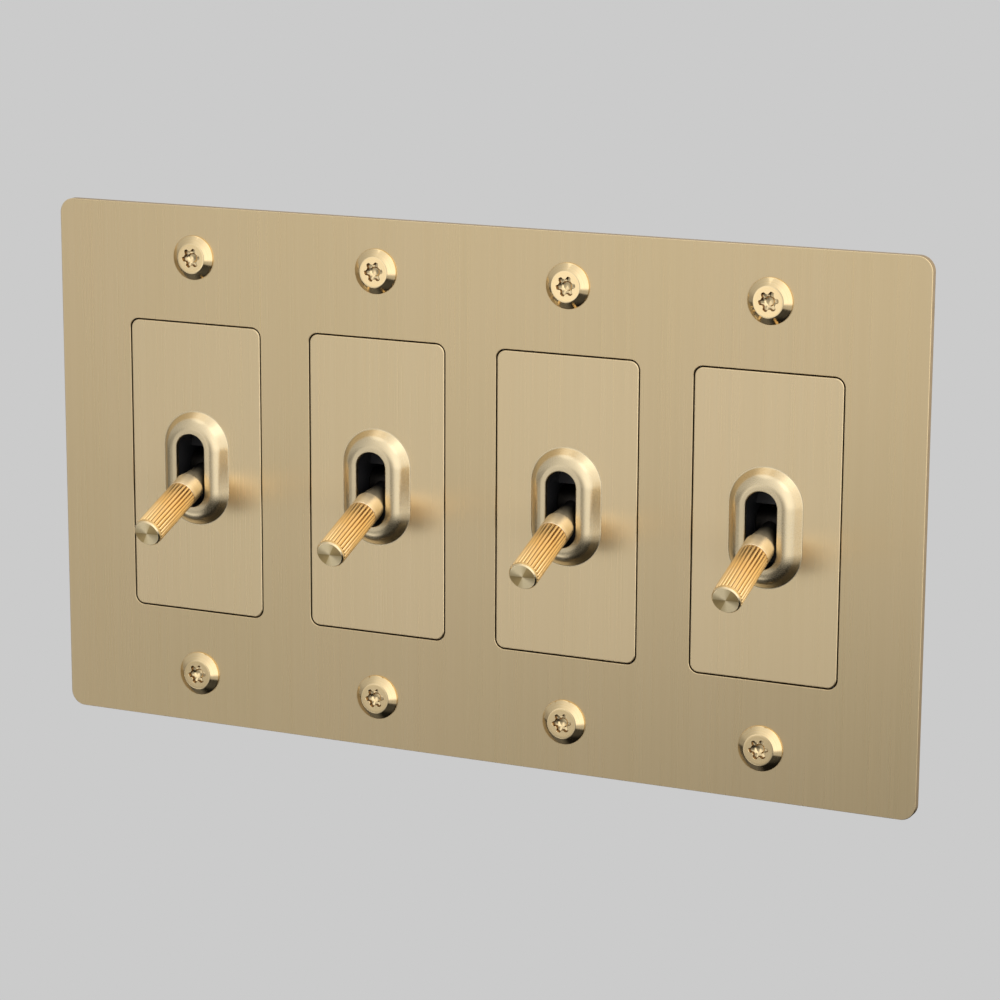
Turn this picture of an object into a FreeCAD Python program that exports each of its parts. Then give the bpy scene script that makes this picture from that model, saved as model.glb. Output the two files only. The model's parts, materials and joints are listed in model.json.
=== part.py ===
import FreeCAD, Part
import math
import os

import Sketcher

# Four toggle switches side by side behind one cover plate.
#
# Frame: the origin is the centre of the cover plate's back, which lies on the wall.
# +X is to the right of somebody facing the plate, +Z is up and +Y goes into the wall,
# so the front of the plate looks towards -Y. Lengths are in millimetres.

V = FreeCAD.Vector
SHEET = "Sizes"
GANGS = (1, 2, 3, 4)

SIZES = {
    # cover plate
    "plate_width": 208.0,
    "plate_height": 120.0,
    "plate_thick": 2.0,
    "plate_corner": 3.4,
    "plate_edge": 0.35,
    "gang_pitch": 46.0375,
    "window_width": 33.8,
    "window_height": 67.2,
    "window_corner": 2.3,
    "plate_screw_rise": 48.41875,
    "plate_hole_radius": 2.1,
    # metal panel on the front of each switch
    "panel_width": 33.2,
    "panel_height": 66.6,
    "panel_corner": 2.0,
    "panel_edge": 0.2,
    "panel_rim": 2.0,
    "boss_width": 15.9,
    "boss_height": 26.1,
    "boss_rise": 3.0,
    "boss_round": 2.5,
    "boss_foot": 0.4,
    "boss_lip": 1.1,
    "slot_width": 7.2,
    "slot_height": 16.9,
    "panel_screw_rise": 29.0,
    "panel_boss_radius": 2.8,
    "panel_pilot_radius": 1.3,
    "panel_pilot_depth": 3.0,
    # mounting strap of each switch
    "yoke_front": 2.2,
    "yoke_thick": 1.2,
    "yoke_width": 33.0,
    "yoke_middle": 66.0,
    "yoke_tab_width": 19.0,
    "yoke_height": 104.4,
    "yoke_corner": 1.5,
    "yoke_window_width": 16.8,
    "yoke_window_height": 26.8,
    "box_screw_rise": 41.67,
    "box_slot_length": 7.0,
    "box_slot_width": 4.0,
    "thread_radius": 1.75,
    "lug_depth": 8.0,
    "lug_low": 41.0,
    "lug_high": 34.0,
    "lug_screw_rise": 37.5,
    "lug_screw_depth": 7.6,
    # moulded front frame and back body
    "body_width": 33.0,
    "body_height": 53.0,
    "body_corner": 1.5,
    "body_edge": 0.8,
    "frame_back": 9.0,
    "body_back": 23.0,
    "body_floor": 20.0,
    "pedestal_width": 16.4,
    "pedestal_height": 26.4,
    "pedestal_front": 0.2,
    "liner_wall": 1.1,
    "liner_gap": 0.1,
    "liner_floor": 2.2,
    "chamber_width": 7.5,
    "hub_window_height": 8.6,
    "chamber_height": 13.2,
    "cavity_width": 10.4,
    "cavity_height": 24.0,
    "rivet_x": 11.8,
    "rivet_rise": 22.0,
    "rivet_radius": 1.2,
    "rivet_head_radius": 2.4,
    "rivet_head_thick": 0.8,
    # lever
    "pivot_depth": 4.0,
    "throw_half": 20.5,
    "pin_radius": 1.0,
    "pin_length": 15.6,
    "pin_clearance": 0.06,
    "hub_radius": 3.2,
    "hub_width": 7.0,
    "neck_radius": 1.8,
    "neck_front_radius": 2.95,
    "collar_start": 9.6,
    "collar_radius": 3.35,
    "grip_start": 14.0,
    "grip_end": 29.6,
    "grip_root_radius": 3.02,
    "ridge_radius": 0.28,
    "ridge_count": 24,
    "spigot_radius": 1.8,
    "cap_radius": 3.2,
    "cap_thick": 0.9,
    "cap_bevel": 0.25,
    "cap_stub_radius": 1.2,
    "cap_stub_length": 3.0,
    "sleeve_gap": 0.02,
    "tail_radius": 2.2,
    "tail_end": 8.6,
    "bore_floor": 2.0,
    "bore_clearance": 0.06,
    # plunger, spring and rocking contact
    "plunger_radius": 1.2,
    "plunger_start": 5.5,
    "nose_centre": 11.0,
    "spring_radius": 0.9,
    "spring_wire": 0.15,
    "spring_turns": 4.0,
    "rocker_depth": 17.0,
    "rocker_width": 6.4,
    "rocker_half": 10.2,
    "rocker_thick": 0.8,
    "trough_radius": 8.1,
    "trough_half": 4.8,
    "trough_front": 0.7,
    "trunnion_radius": 0.65,
    "trunnion_length": 9.4,
    "contact_radius": 1.5,
    "contact_thick": 0.85,
    "contact_rise": 8.2,
    "rocker_ratio": 0.25,
    # terminals
    "strip_front": 19.2,
    "strip_height": 6.0,
    "ear_thick": 0.8,
    "ear_width": 4.0,
    "ear_front": 15.9,
    "tab_thick": 0.8,
    "tab_height": 8.0,
    "tab_front": 12.0,
    "tab_screw_depth": 15.5,
    "fixed_contact_front": 17.35,
    "stop_front": 16.6,
    "stop_low": 8.5,
    "stop_high": 10.6,
    "stop_width": 5.0,
    # fasteners
    "shank_radius": 1.7,
    "plate_head_radius": 5.05,
    "plate_head_top": 3.45,
    "plate_head_rise": 1.4,
    "plate_head_band": 0.35,
    "plate_screw_length": 12.0,
    "recess_radius": 1.6,
    "lobe_radius": 0.5,
    "lobe_circle": 1.75,
    "recess_depth": 1.2,
    "recess_turn": 8.0,
    "box_head_radius": 3.2,
    "box_head_depth": 1.9,
    "box_neck_radius": 1.4,
    "box_thread_start": 2.6,
    "box_screw_length": 22.0,
    "terminal_head_radius": 3.9,
    "terminal_head_rise": 1.8,
    "terminal_screw_length": 6.0,
    "driver_slot_width": 1.0,
    "driver_slot_depth": 0.9,
    "panel_head_radius": 2.2,
    "panel_head_rise": 1.3,
    "panel_screw_length": 4.0,
    "panel_shank_radius": 1.25,
    # room left around a piece that drops into a moulded channel
    "seat_gap": 0.1,
}

doc = FreeCAD.newDocument("toggle_switch")
sheet = doc.addObject("Spreadsheet::Sheet", SHEET)


def number(size):
    """The plain value of a Size or of a number."""
    return size.value if isinstance(size, Size) else size


class Size:
    """A length from the sheet: its value, and the expression that gives it."""

    def __init__(self, value, text):
        self.value = value
        self.text = text

    def joined(self, sign, other, value):
        other_text = other.text if isinstance(other, Size) else repr(other)
        return Size(value, f"({self.text} {sign} {other_text})")

    def __add__(self, other):
        return self.joined("+", other, self.value + number(other))

    def __sub__(self, other):
        return self.joined("-", other, self.value - number(other))

    def __mul__(self, other):
        return self.joined("*", other, self.value * number(other))

    def __truediv__(self, other):
        return self.joined("/", other, self.value / number(other))

    def __neg__(self):
        return Size(-self.value, f"(0 - {self.text})")


ZERO = Size(0, "0")


class Table:
    """The sheet's cells by alias, each one a Size."""

    def __init__(self, values):
        for row, (alias, value) in enumerate(values.items(), start=1):
            sheet.set(f"A{row}", alias)
            sheet.set(f"B{row}", str(value))
            sheet.setAlias(f"B{row}", alias)
            setattr(self, alias, Size(float(value), f"{SHEET}.{alias}"))


d = Table(SIZES)
doc.recompute()

nodes = []


# ---------------------------------------------------------------- helpers


def bind(thing, field, size):
    """Set a property and tie it to the sheet."""
    setattr(thing, field, number(size))
    if isinstance(size, Size):
        thing.setExpression(field, size.text)


def keep(thing, label, placement=None):
    """Name a finished sub-part, place it and list it for export."""
    thing.Label = label
    if placement:
        thing.Placement = placement
    nodes.append(thing)
    return thing


def shifted(x, y=0, z=0):
    return FreeCAD.Placement(V(number(x), number(y), number(z)), FreeCAD.Rotation())


def new_body(name):
    return doc.addObject("PartDesign::Body", name)


def new_sketch(body, plane, offset):
    """A sketch on an origin plane of the body, moved along the plane's normal."""
    sketch = body.newObject("Sketcher::SketchObject", body.Name + "_sketch")
    support = next(f for f in body.Origin.OriginFeatures if f.Role == plane)
    sketch.AttachmentSupport = [(support, "")]
    sketch.MapMode = "FlatFace"
    sketch.AttachmentOffset = shifted(0, 0, offset)
    if isinstance(offset, Size):
        sketch.setExpression("AttachmentOffset.Base.z", offset.text)
    return sketch


def dimension(sketch, size, *constraint):
    """Add a dimension to a sketch and tie it to the sheet."""
    index = sketch.addConstraint(Sketcher.Constraint(*constraint, number(size)))
    if isinstance(size, Size):
        sketch.setExpression(f"Constraints[{index}]", size.text)


def hold_point(sketch, curve, end, x, y):
    """Hold one point of a curve at (x, y) from the sketch's origin."""
    for kind, axis, size in (("DistanceX", -2, x), ("DistanceY", -1, y)):
        if number(size) == 0:
            sketch.addConstraint(Sketcher.Constraint("PointOnObject", curve, end, axis))
        else:
            dimension(sketch, size, kind, -1, 1, curve, end)


def polygon(sketch, points):
    """A closed outline of straight lines."""
    corners = [V(number(x), number(y), 0) for x, y in points]
    following = corners[1:] + corners[:1]
    lines = [sketch.addGeometry(Part.LineSegment(a, b), False) for a, b in zip(corners, following)]
    for line, after, point in zip(lines, lines[1:] + lines[:1], points):
        sketch.addConstraint(Sketcher.Constraint("Coincident", line, 2, after, 1))
        hold_point(sketch, line, 1, *point)


def disc(sketch, radius, x=0, y=0):
    circle = sketch.addGeometry(Part.Circle(V(number(x), number(y), 0), V(0, 0, 1), number(radius)), False)
    hold_point(sketch, circle, 3, x, y)
    dimension(sketch, radius, "Radius", circle)


def box(sketch, left, right, low, high):
    polygon(sketch, [(left, low), (right, low), (right, high), (left, high)])


def add_arc(sketch, x, y, radius, start, stop):
    circle = Part.Circle(V(number(x), number(y), 0), V(0, 0, 1), number(radius))
    arc = sketch.addGeometry(Part.ArcOfCircle(circle, math.radians(start), math.radians(stop)), False)
    hold_point(sketch, arc, 3, x, y)
    return arc


def rounded_box(sketch, width, height, radius, x=0, y=0):
    """A rectangle with round corners, centred at (x, y)."""
    reach_x = width / 2 - radius
    reach_y = height / 2 - radius
    arcs = []
    ends = []
    for side_x, side_y, start in ((1, 1, 0), (-1, 1, 90), (-1, -1, 180), (1, -1, 270)):
        centre_x = reach_x * side_x + x
        centre_y = reach_y * side_y + y
        arcs.append(add_arc(sketch, centre_x, centre_y, radius, start, start + 90))
        dimension(sketch, radius, "Radius", arcs[-1])
        curve = sketch.Geometry[arcs[-1]]
        ends.append((curve.StartPoint, curve.EndPoint))
    for i in range(4):
        after = (i + 1) % 4
        line = sketch.addGeometry(Part.LineSegment(ends[i][1], ends[after][0]), False)
        sketch.addConstraint(Sketcher.Constraint("Tangent", arcs[i], 2, line, 1))
        sketch.addConstraint(Sketcher.Constraint("Tangent", line, 2, arcs[after], 1))


def stadium(sketch, width, height, x=0, y=0):
    """A slot with round ends; the longer of width and height is its length."""
    upright = number(height) > number(width)
    radius = width / 2 if upright else height / 2
    reach = (height - width) / 2 if upright else (width - height) / 2
    starts = (0, 180) if upright else (270, 90)
    arcs = []
    for side, start in zip((1, -1), starts):
        centre = (x, reach * side + y) if upright else (reach * side + x, y)
        arcs.append(add_arc(sketch, *centre, radius, start, start + 180))
    curves = [sketch.Geometry[arc] for arc in arcs]
    dimension(sketch, radius, "Radius", arcs[0])
    for first, second in ((0, 1), (1, 0)):
        segment = Part.LineSegment(curves[first].EndPoint, curves[second].StartPoint)
        line = sketch.addGeometry(segment, False)
        sketch.addConstraint(Sketcher.Constraint("Tangent", arcs[first], 2, line, 1))
        sketch.addConstraint(Sketcher.Constraint("Tangent", line, 2, arcs[second], 1))


def extrude(body, kind, sketch, length):
    """Pad or pocket a sketch, and check that the solid grew or shrank."""
    before = body.Shape.Volume if body.Tip else 0
    feature = body.newObject(kind, body.Name + "_step")
    feature.Profile = sketch
    bind(feature, "Length", length)
    body.Tip = feature
    doc.recompute()
    grew = body.Shape.Volume > before
    if grew != (kind == "PartDesign::Pad"):
        raise ValueError(f"{feature.Name} points the wrong way")
    return feature


def add(body, front, back, draw):
    """Add material between two depths; draw(sketch) gives the outline in X and Z."""
    sketch = new_sketch(body, "XZ_Plane", -back)
    draw(sketch)
    return extrude(body, "PartDesign::Pad", sketch, back - front)


def cut(body, front, back, draw):
    """Remove material between two depths; draw(sketch) gives the outline in X and Z."""
    sketch = new_sketch(body, "XZ_Plane", -front)
    draw(sketch)
    return extrude(body, "PartDesign::Pocket", sketch, back - front)


def add_sideways(body, left, right, draw):
    """Add material between two X values; draw(sketch) gives the outline in Y and Z."""
    sketch = new_sketch(body, "YZ_Plane", left)
    draw(sketch)
    return extrude(body, "PartDesign::Pad", sketch, right - left)


def cut_sideways(body, left, right, draw):
    """Remove material between two X values; draw(sketch) gives the outline in Y and Z."""
    sketch = new_sketch(body, "YZ_Plane", right)
    draw(sketch)
    return extrude(body, "PartDesign::Pocket", sketch, right - left)


def spin(body, points):
    """Turn a profile of (radius, height) points around the body's Z axis."""
    sketch = new_sketch(body, "XZ_Plane", 0)
    polygon(sketch, points)
    feature = body.newObject("PartDesign::Revolution", body.Name + "_turned")
    feature.Profile = sketch
    feature.ReferenceAxis = (sketch, ["V_Axis"])
    feature.Angle = 360
    body.Tip = feature
    doc.recompute()
    return feature


def round_edges(body, feature, radius, wanted):
    """Fillet each edge of a feature that wanted(edge) picks."""
    names = [f"Edge{i}" for i, edge in enumerate(feature.Shape.Edges, start=1) if wanted(edge)]
    fillet = body.newObject("PartDesign::Fillet", body.Name + "_round")
    fillet.Base = (feature, names)
    bind(fillet, "Radius", radius)
    body.Tip = fillet
    doc.recompute()
    return fillet


def lies_at_depth(depth):
    """A test for edges that lie in the plane Y = depth."""
    level = number(depth)
    return lambda edge: max(abs(edge.BoundBox.YMin - level), abs(edge.BoundBox.YMax - level)) < 1e-4


def disc_pair(sketch, radius, rise, x=0):
    """Two discs, one as far above the centre as the other is below it."""
    disc(sketch, radius, x, rise)
    disc(sketch, radius, x, -rise)


def group(label, master, placements):
    """Identical fasteners as separate solids of one sub-part."""
    copies = []
    for placement in placements:
        copy = master.Shape.copy()
        copy.Placement = placement.multiply(master.Shape.Placement)
        copies.append(copy)
    feature = doc.addObject("Part::Feature", label)
    feature.Shape = Part.makeCompound(copies)
    return keep(feature, label)


def primitive(kind, name, **fields):
    """A Part primitive with its sizes tied to the sheet."""
    thing = doc.addObject(kind, name)
    for field, size in fields.items():
        bind(thing, field, size)
    return thing


def primitive_cut(body, kind, **fields):
    """A PartDesign primitive taken out of a body, with its sizes tied to the sheet."""
    thing = body.newObject(kind, body.Name + "_sunk")
    for field, size in fields.items():
        bind(thing, field, size)
    body.Tip = thing
    return thing


def gang_x(gang):
    """The X of a gang's centre line, from the left."""
    return d.gang_pitch * (gang - (len(GANGS) + 1) / 2)


WALL = ZERO
gang_offsets = [gang_x(gang) for gang in GANGS]
plate_front = -d.plate_thick
boss_front = plate_front - d.boss_rise
yoke_back = d.yoke_front + d.yoke_thick
strip_back = d.body_floor
tab_reach = d.body_width / 2 + d.tab_thick


# ---------------------------------------------------------------- cover plate


def make_front_plate():
    body = new_body("front_plate")
    slab = add(body, plate_front, WALL, lambda s: rounded_box(
        s, d.plate_width, d.plate_height, d.plate_corner))
    round_edges(body, slab, d.plate_edge, lies_at_depth(plate_front))

    def windows(sketch):
        for x in gang_offsets:
            rounded_box(sketch, d.window_width, d.window_height, d.window_corner, x)

    def screw_holes(sketch):
        for x in gang_offsets:
            disc_pair(sketch, d.plate_hole_radius, d.plate_screw_rise, x)

    cut(body, plate_front, WALL, windows)
    cut(body, plate_front, WALL, screw_holes)
    return keep(body, "front_plate")


# ---------------------------------------------------------------- switch front


def make_insert_panel(gang):
    """The metal face of one switch: a shallow tray with a raised ring around its slot."""
    body = new_body(f"insert_panel_{gang}")
    slab = add(body, plate_front, d.yoke_front, lambda s: rounded_box(
        s, d.panel_width, d.panel_height, d.panel_corner))
    round_edges(body, slab, d.panel_edge, lies_at_depth(plate_front))
    ring = add(body, boss_front, plate_front, lambda s: stadium(s, d.boss_width, d.boss_height))

    def at_foot(edge):
        centre = edge.CenterOfMass
        near = abs(centre.x) < d.boss_width.value and abs(centre.z) < d.boss_height.value
        return near and lies_at_depth(plate_front)(edge)

    foot = round_edges(body, ring, d.boss_foot, at_foot)
    round_edges(body, foot, d.boss_round, lies_at_depth(boss_front))
    rim = d.panel_rim * 2
    cut(body, WALL, d.yoke_front, lambda s: rounded_box(
        s, d.panel_width - rim, d.panel_height - rim, d.panel_corner / 2))
    add(body, WALL, d.yoke_front, lambda s: disc_pair(s, d.panel_boss_radius, d.panel_screw_rise))
    cut(body, d.yoke_front - d.panel_pilot_depth, d.yoke_front, lambda s: disc_pair(
        s, d.panel_pilot_radius, d.panel_screw_rise))
    spare = (d.liner_wall + d.liner_gap) * 2
    cut(body, boss_front + d.boss_lip, WALL, lambda s: stadium(
        s, d.slot_width + spare, d.slot_height + spare))
    cut(body, boss_front, boss_front + d.boss_lip, lambda s: stadium(s, d.slot_width, d.slot_height))
    return keep(body, f"insert_panel_{gang}", shifted(gang_x(gang)))


def rivet_holes(sketch):
    disc_pair(sketch, d.rivet_radius + d.seat_gap, d.rivet_rise, d.rivet_x)
    disc_pair(sketch, d.rivet_radius + d.seat_gap, d.rivet_rise, -d.rivet_x)


def make_yoke(gang):
    """The steel strap that carries the switch, with its earth lug."""
    body = new_body(f"yoke_{gang}")
    tab = d.yoke_tab_width / 2
    add(body, d.yoke_front, yoke_back, lambda s: rounded_box(
        s, d.yoke_width, d.yoke_middle, d.yoke_corner))
    add(body, d.yoke_front, yoke_back, lambda s: rounded_box(
        s, d.yoke_tab_width, d.yoke_height, d.yoke_corner))
    add(body, yoke_back, yoke_back + d.lug_depth, lambda s: box(
        s, -tab, d.yoke_thick - tab, -d.lug_low, -d.lug_high))
    cut(body, d.yoke_front, yoke_back, lambda s: rounded_box(
        s, d.yoke_window_width, d.yoke_window_height, d.yoke_corner / 3))

    def holes(sketch):
        stadium(sketch, d.box_slot_length, d.box_slot_width, 0, d.box_screw_rise)
        stadium(sketch, d.box_slot_length, d.box_slot_width, 0, -d.box_screw_rise)
        disc_pair(sketch, d.thread_radius, d.plate_screw_rise)
        disc_pair(sketch, d.panel_shank_radius + d.seat_gap, d.panel_screw_rise)
        rivet_holes(sketch)

    cut(body, d.yoke_front, yoke_back, holes)
    sink_slope = (d.box_head_radius - d.box_neck_radius) / d.box_head_depth
    wide = d.box_head_radius + d.seat_gap * 1.5
    for side in (1, -1):
        sink = primitive_cut(body, "PartDesign::SubtractiveCone", Radius1=wide,
                             Radius2=wide - sink_slope * d.yoke_thick, Height=d.yoke_thick)
        sink.Placement = FreeCAD.Placement(
            V(0, d.yoke_front.value, d.box_screw_rise.value * side), FreeCAD.Rotation(V(1, 0, 0), -90))
        doc.recompute()
    cut_sideways(body, -tab - 1, d.yoke_thick - tab + 1, lambda s: disc(
        s, d.thread_radius, d.lug_screw_depth, -d.lug_screw_rise))
    return keep(body, f"yoke_{gang}", shifted(gang_x(gang)))


# ---------------------------------------------------------------- moulded housing


def make_front_frame(gang):
    """The front moulding: a block behind the strap, and the liner inside the metal ring."""
    body = new_body(f"front_frame_{gang}")
    wall = d.liner_wall * 2
    liner_front = boss_front + d.boss_lip + d.liner_gap
    add(body, yoke_back, d.frame_back, lambda s: rounded_box(
        s, d.body_width, d.body_height, d.body_corner))
    add(body, d.pedestal_front, yoke_back, lambda s: rounded_box(
        s, d.pedestal_width, d.pedestal_height, d.yoke_corner / 3))
    add(body, liner_front, d.pedestal_front, lambda s: stadium(
        s, d.slot_width + wall, d.slot_height + wall))
    cut(body, liner_front, d.liner_floor, lambda s: stadium(
        s, d.slot_width + d.liner_gap, d.slot_height + d.liner_gap))
    half = d.chamber_width / 2
    cut(body, d.liner_floor, yoke_back, lambda s: box(
        s, -half, half, -d.hub_window_height / 2, d.hub_window_height / 2))
    cut(body, yoke_back, d.frame_back, lambda s: box(
        s, -half, half, -d.chamber_height / 2, d.chamber_height / 2))
    cut_sideways(body, -d.pin_length / 2 - d.seat_gap, d.pin_length / 2 + d.seat_gap, lambda s: disc(
        s, d.pin_radius + d.seat_gap / 5, d.pivot_depth, 0))
    reach = d.pin_length / 2 + d.seat_gap
    notch = d.pin_radius + d.seat_gap / 5
    cut(body, d.pivot_depth, d.frame_back, lambda s: box(s, -reach, reach, -notch, notch))
    cut(body, yoke_back, d.frame_back, rivet_holes)
    return keep(body, f"front_frame_{gang}", shifted(gang_x(gang)))


def make_back_body(gang):
    """The back moulding: a cup around the rocking contact, with a channel for each terminal."""
    body = new_body(f"back_body_{gang}")
    half = d.cavity_width / 2
    side = d.body_width / 2
    channel = d.strip_height / 2 + d.seat_gap
    cup = add(body, d.frame_back, d.body_back, lambda s: rounded_box(
        s, d.body_width, d.body_height, d.body_corner))
    round_edges(body, cup, d.body_edge, lies_at_depth(d.body_back))
    cut(body, d.frame_back, d.body_floor, lambda s: box(
        s, -half, half, -d.cavity_height / 2, d.cavity_height / 2))
    cut(body, d.frame_back, d.body_floor, lambda s: box(s, -side - 1, -half + 1, -channel, channel))
    cut(body, d.frame_back, d.body_floor, lambda s: box(
        s, half - 1, side + 1, -d.contact_rise - channel, channel - d.contact_rise))
    add(body, d.stop_front, d.body_floor, lambda s: box(
        s, -d.stop_width / 2, d.stop_width / 2, d.stop_low, d.stop_high))
    cut(body, d.frame_back, d.body_back, rivet_holes)
    return keep(body, f"back_body_{gang}", shifted(gang_x(gang)))


# ---------------------------------------------------------------- lever


def lever_placement(gang):
    """The lever's own +Z, which runs from its pivot to its tip, as it points when down."""
    turn = FreeCAD.Rotation(V(1, 0, 0), 90 + d.throw_half.value)
    return FreeCAD.Placement(V(gang_x(gang).value, d.pivot_depth.value, 0), turn)


def make_toggle_stem(gang):
    """Spigot, collar, neck, pivot hub and the tail that guides the plunger."""
    body = new_body(f"toggle_stem_{gang}")
    shoulder = d.collar_radius - d.neck_front_radius
    spin(body, [
        (ZERO, -d.tail_end),
        (d.tail_radius, -d.tail_end),
        (d.tail_radius, ZERO),
        (d.neck_radius, ZERO),
        (d.neck_front_radius, d.collar_start),
        (d.collar_radius, d.collar_start + shoulder),
        (d.collar_radius, d.grip_start),
        (d.spigot_radius, d.grip_start),
        (d.spigot_radius, d.grip_end),
        (ZERO, d.grip_end),
    ])
    add_sideways(body, -d.hub_width / 2, d.hub_width / 2, lambda s: disc(s, d.hub_radius))
    cut_sideways(body, -d.hub_width / 2, d.hub_width / 2, lambda s: disc(
        s, d.pin_radius + d.pin_clearance))
    bore = new_sketch(body, "XY_Plane", -d.bore_floor)
    disc(bore, d.plunger_radius + d.bore_clearance)
    extrude(body, "PartDesign::Pocket", bore, d.tail_end - d.bore_floor)
    stub = new_sketch(body, "XY_Plane", d.grip_end)
    disc(stub, d.cap_stub_radius + d.sleeve_gap)
    extrude(body, "PartDesign::Pocket", stub, d.cap_stub_length + d.seat_gap)
    return keep(body, f"toggle_stem_{gang}", lever_placement(gang))


def make_toggle_grip(gang):
    """A sleeve with straight round ridges."""
    body = new_body(f"toggle_grip_{gang}")
    length = d.grip_end - d.grip_start
    core = new_sketch(body, "XY_Plane", d.grip_start)
    disc(core, d.grip_root_radius)
    extrude(body, "PartDesign::Pad", core, length)
    ridge_sketch = new_sketch(body, "XY_Plane", d.grip_start)
    disc(ridge_sketch, d.ridge_radius, d.grip_root_radius, 0)
    ridge = extrude(body, "PartDesign::Pad", ridge_sketch, length)
    ridges = body.newObject("PartDesign::PolarPattern", body.Name + "_ridges")
    ridges.Originals = [ridge]
    ridges.Axis = (core, ["N_Axis"])
    ridges.Angle = 360
    bind(ridges, "Occurrences", Size(int(d.ridge_count.value), d.ridge_count.text))
    body.Tip = ridges
    doc.recompute()
    bore = new_sketch(body, "XY_Plane", d.grip_end)
    disc(bore, d.spigot_radius + d.sleeve_gap)
    extrude(body, "PartDesign::Pocket", bore, length)
    return keep(body, f"toggle_grip_{gang}", lever_placement(gang))


def make_toggle_cap(gang):
    """The turned end cap, with a stub pressed into the spigot."""
    body = new_body(f"toggle_cap_{gang}")
    top = d.grip_end + d.cap_thick
    spin(body, [
        (ZERO, d.grip_end - d.cap_stub_length),
        (d.cap_stub_radius, d.grip_end - d.cap_stub_length),
        (d.cap_stub_radius, d.grip_end),
        (d.cap_radius, d.grip_end),
        (d.cap_radius, top - d.cap_bevel),
        (d.cap_radius - d.cap_bevel, top),
        (ZERO, top),
    ])
    return keep(body, f"toggle_cap_{gang}", lever_placement(gang))


def make_pivot_pin(gang):
    pin = primitive("Part::Cylinder", f"pivot_pin_{gang}", Radius=d.pin_radius, Height=d.pin_length)
    start = V(gang_x(gang).value - d.pin_length.value / 2, d.pivot_depth.value, 0)
    place = FreeCAD.Placement(start, FreeCAD.Rotation(V(0, 0, 1), V(1, 0, 0)))
    return keep(pin, f"pivot_pin_{gang}", place)


def make_plunger(gang):
    """A round-nosed pin that slides in the lever's tail."""
    rod = primitive("Part::Cylinder", f"plunger_rod_{gang}",
                    Radius=d.plunger_radius, Height=d.nose_centre - d.plunger_start)
    rod.Placement = shifted(0, 0, -d.nose_centre)
    nose = primitive("Part::Sphere", f"plunger_nose_{gang}", Radius=d.plunger_radius)
    nose.Placement = shifted(0, 0, -d.nose_centre)
    plunger = doc.addObject("Part::Fuse", f"plunger_{gang}")
    plunger.Base = rod
    plunger.Tool = nose
    return keep(plunger, f"plunger_{gang}", lever_placement(gang))


def make_plunger_spring(gang):
    """A coil between the floor of the tail's bore and the plunger."""
    wire = d.spring_wire.value
    radius = d.spring_radius.value
    start = d.bore_floor.value + wire
    length = d.plunger_start.value - wire - start
    lowest = wire - d.plunger_start.value
    path = Part.makeHelix(length / d.spring_turns.value, length, radius)
    path.translate(V(0, 0, lowest))
    section = Part.Wire([Part.makeCircle(wire, V(radius, 0, lowest), V(0, 1, 0))])
    spring = doc.addObject("Part::Feature", f"plunger_spring_{gang}")
    spring.Shape = Part.Wire(path).makePipeShell([section], True, True)
    return keep(spring, f"plunger_spring_{gang}", lever_placement(gang))


# ---------------------------------------------------------------- contacts and terminals


def block(name, low, high):
    """A box between two opposite corners."""
    fields = {field: top - bottom for field, bottom, top in zip(("Length", "Width", "Height"), low, high)}
    thing = primitive("Part::Box", name, **fields)
    thing.Placement = shifted(*low)
    return thing


def cylinder(name, radius, length, centre, direction):
    """A cylinder of a given length, starting at a point and running along a direction."""
    thing = primitive("Part::Cylinder", name, Radius=radius, Height=length)
    start = V(*(number(size) for size in centre))
    thing.Placement = FreeCAD.Placement(start, FreeCAD.Rotation(V(0, 0, 1), direction))
    return thing


def fused(name, pieces):
    thing = doc.addObject("Part::MultiFuse", name)
    thing.Shapes = pieces
    return thing


def less(name, base, tool):
    thing = doc.addObject("Part::Cut", name)
    thing.Base = base
    thing.Tool = tool
    return thing


def make_contact_rocker(gang):
    """A brass seesaw: two flat arms, a shallow trough for the plunger, a trunnion and a contact."""
    name = f"contact_rocker_{gang}"
    half_width = d.rocker_width / 2
    centre = -d.trough_front - d.trough_radius
    depth = math.sqrt(d.trough_radius.value ** 2 - d.trough_half.value ** 2)
    arm_front = centre + depth
    arm_back = arm_front + d.rocker_thick
    across = V(1, 0, 0)
    barrel = cylinder(name + "_barrel", d.trough_radius + d.rocker_thick, d.rocker_width,
                      (-half_width, centre, 0), across)
    hollow = cylinder(name + "_hollow", d.trough_radius, d.rocker_width + 2,
                      (-half_width - 1, centre, 0), across)
    span = block(name + "_span", (-half_width, arm_front, -d.trough_half),
                 (half_width, -d.trough_front + d.rocker_thick, d.trough_half))
    trough = doc.addObject("Part::Common", name + "_trough")
    trough.Base = less(name + "_shell", barrel, hollow)
    trough.Tool = span
    pieces = [trough]
    pieces.append(block(name + "_upper", (-half_width, arm_front, d.trough_half - d.rocker_thick / 8),
                        (half_width, arm_back, d.rocker_half)))
    pieces.append(block(name + "_lower", (-half_width, arm_front, -d.rocker_half),
                        (half_width, arm_back, d.rocker_thick / 8 - d.trough_half)))
    pieces.append(cylinder(name + "_trunnion", d.trunnion_radius, d.trunnion_length,
                           (-d.trunnion_length / 2, 0, 0), across))
    pieces.append(cylinder(name + "_contact", d.contact_radius, d.contact_thick + 0.1,
                           (0, arm_back - 0.1, -d.contact_rise), V(0, 1, 0)))
    lean = -d.throw_half.value * d.rocker_ratio.value
    place = FreeCAD.Placement(V(gang_x(gang).value, d.rocker_depth.value, 0),
                              FreeCAD.Rotation(V(1, 0, 0), lean))
    return keep(fused(name, pieces), name, place)


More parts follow.
